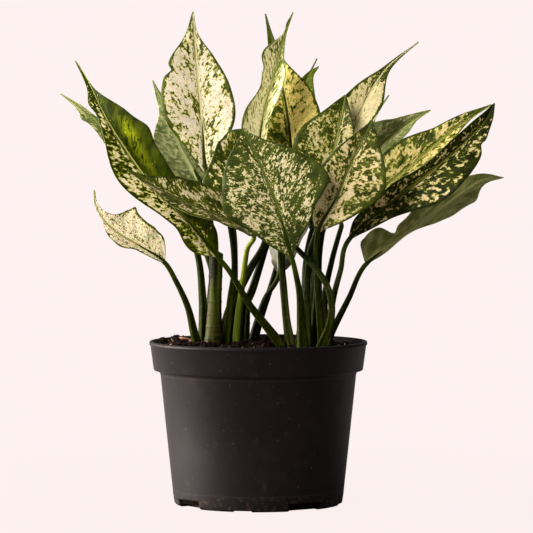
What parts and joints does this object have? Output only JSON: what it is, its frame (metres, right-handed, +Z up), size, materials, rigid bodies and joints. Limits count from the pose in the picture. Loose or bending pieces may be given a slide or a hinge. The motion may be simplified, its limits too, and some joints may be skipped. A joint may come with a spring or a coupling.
{
  "type": "potted chinese evergreen",
  "caption": "Leafy house plant in a round nursery pot: broad pointed leaves, dark green speckled with cream, fan out on long stalks from short canes in soil.",
  "frame": {"origin": "on the pot's axis, at its underside", "axes": "+Z up; +Y away from the front of the plant; +X to the right seen from the front"},
  "size_m": [0.3174, 0.2248, 0.3511],
  "materials": {
    "pot_plastic": "dull black moulded plastic, scuffed and a little dusty",
    "peat": "coarse dark red-brown peat",
    "bark": "rough pale orange bark",
    "cane": "smooth green stem with paler rings, satin",
    "leaf": "satin leaf, dark green with cream patches along its veins"
  },
  "bodies": {
    "root": {"pot": "pot_plastic", "soil": "peat", "bark_chip": "bark", "cane_left": "cane", "cane_middle": "cane", "cane_right": "cane", "leaf_front": "leaf", "leaf_right_front": "leaf", "leaf_left_flat": "leaf", "leaf_left_big": "leaf", "leaf_left_low": "leaf", "leaf_tall_left": "leaf", "leaf_left_behind": "leaf", "leaf_left_far": "leaf", "leaf_centre_small": "leaf", "leaf_tall_centre": "leaf", "leaf_olive": "leaf", "leaf_tip_behind": "leaf", "leaf_right_speckled": "leaf", "leaf_right_tall": "leaf", "leaf_right_behind": "leaf", "leaf_right_pale": "leaf", "leaf_right_big": "leaf", "leaf_right_low": "leaf", "leaf_back_pale": "leaf", "leaf_back_right": "leaf", "leaf_back_tall": "leaf", "leaf_back_left": "leaf", "leaf_back_low_left": "leaf", "leaf_back_low": "leaf", "leaf_back_low_right": "leaf", "leaf_back_wide_right": "leaf"}
  },
  "joints": []
}
